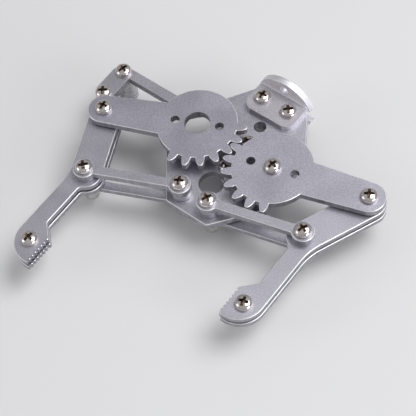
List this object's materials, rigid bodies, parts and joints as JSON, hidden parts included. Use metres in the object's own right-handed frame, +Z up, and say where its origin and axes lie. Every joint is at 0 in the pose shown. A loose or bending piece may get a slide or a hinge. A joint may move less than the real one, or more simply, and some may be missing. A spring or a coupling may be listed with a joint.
{
  "type": "robot claw gripper",
  "caption": "Flat parallel-jaw claw gripper: two geared arms and links swing serrated fingers from a base plate with a servo frame and a round wrist flange.",
  "frame": {"origin": "centre of the round wrist flange on its rear face, level with the underside of the base plate", "axes": "+Y back towards the wrist, jaws towards -Y, +X towards the driven arm, +Z up from the base plate to the toothed arms"},
  "size_m": [0.1008, 0.0924, 0.0204],
  "materials": {
    "plate": "fine sand-blasted, satin, with brighter cut edges",
    "screw": "polished nickel plate",
    "nut": "zinc-nickel plate, slightly dull",
    "spacer": "turned, bare"
  },
  "bodies": {
    "frame": {"base_plate": "plate", "upper_wrist_bracket": "plate", "lower_wrist_bracket": "plate", "servo_screws": "screw", "servo_standoffs": "spacer", "wrist_screws": "screw", "wrist_spacers": "spacer", "wrist_nuts": "nut", "driven_arm_screw": "screw", "driven_arm_bush": "spacer", "driven_arm_nut": "nut", "link_base_screws": "screw", "link_base_bushes": "spacer", "link_base_washers": "spacer", "link_base_nuts": "nut"},
    "drive_arm": {"drive_arm": "plate"},
    "driven_arm": {"driven_arm": "plate"},
    "left_finger": {"left_finger_upper_plate": "plate", "left_finger_lower_plate": "plate", "left_finger_spacers": "spacer", "left_finger_upper_washers": "spacer", "left_finger_lower_washer": "spacer", "left_arm_pivot_screw": "screw", "left_arm_pivot_nut": "nut", "left_link_pivot_screw": "screw", "left_link_pivot_nut": "nut", "left_fingertip_screw": "screw", "left_fingertip_nut": "nut"},
    "right_finger": {"right_finger_upper_plate": "plate", "right_finger_lower_plate": "plate", "right_finger_spacers": "spacer", "right_finger_upper_washers": "spacer", "right_finger_lower_washer": "spacer", "right_arm_pivot_screw": "screw", "right_arm_pivot_nut": "nut", "right_link_pivot_screw": "screw", "right_link_pivot_nut": "nut", "right_fingertip_screw": "screw", "right_fingertip_nut": "nut"},
    "left_links": {"left_upper_link": "plate", "left_lower_link": "plate"},
    "right_links": {"right_upper_link": "plate", "right_lower_link": "plate"}
  },
  "joints": [
    {"name": "drive_arm_swing", "type": "hinge", "parent": "frame", "child": "drive_arm", "pos_m": [-0.01425, -0.0271, 0.00675], "axis": [0, 0, 1], "range_deg": [0, 66]},
    {"name": "driven_arm_swing", "type": "hinge", "parent": "frame", "child": "driven_arm", "pos_m": [0.01425, -0.0271, 0.00675], "axis": [0, 0, 1], "range_deg": [-66, 0]},
    {"name": "left_finger_pivot", "type": "hinge", "parent": "drive_arm", "child": "left_finger", "pos_m": [-0.04178, -0.03901, 0.005], "axis": [0, 0, 1], "range_deg": [-66, 0]},
    {"name": "right_finger_pivot", "type": "hinge", "parent": "driven_arm", "child": "right_finger", "pos_m": [0.04329, -0.01959, 0.005], "axis": [0, 0, 1], "range_deg": [0, 66]},
    {"name": "left_links_swing", "type": "hinge", "parent": "frame", "child": "left_links", "pos_m": [-0.0052, -0.0471, 0.00275], "axis": [0, 0, 1], "range_deg": [0, 66]},
    {"name": "right_links_swing", "type": "hinge", "parent": "frame", "child": "right_links", "pos_m": [0.0052, -0.0471, 0.00275], "axis": [0, 0, 1], "range_deg": [-66, 0]}
  ],
  "couplings": [
    {"joint": "driven_arm_swing", "follows": "drive_arm_swing", "ratio": -1},
    {"joint": "left_finger_pivot", "follows": "drive_arm_swing", "ratio": -1},
    {"joint": "right_finger_pivot", "follows": "drive_arm_swing", "ratio": 1},
    {"joint": "left_links_swing", "follows": "drive_arm_swing", "ratio": 1},
    {"joint": "right_links_swing", "follows": "drive_arm_swing", "ratio": -1}
  ]
}
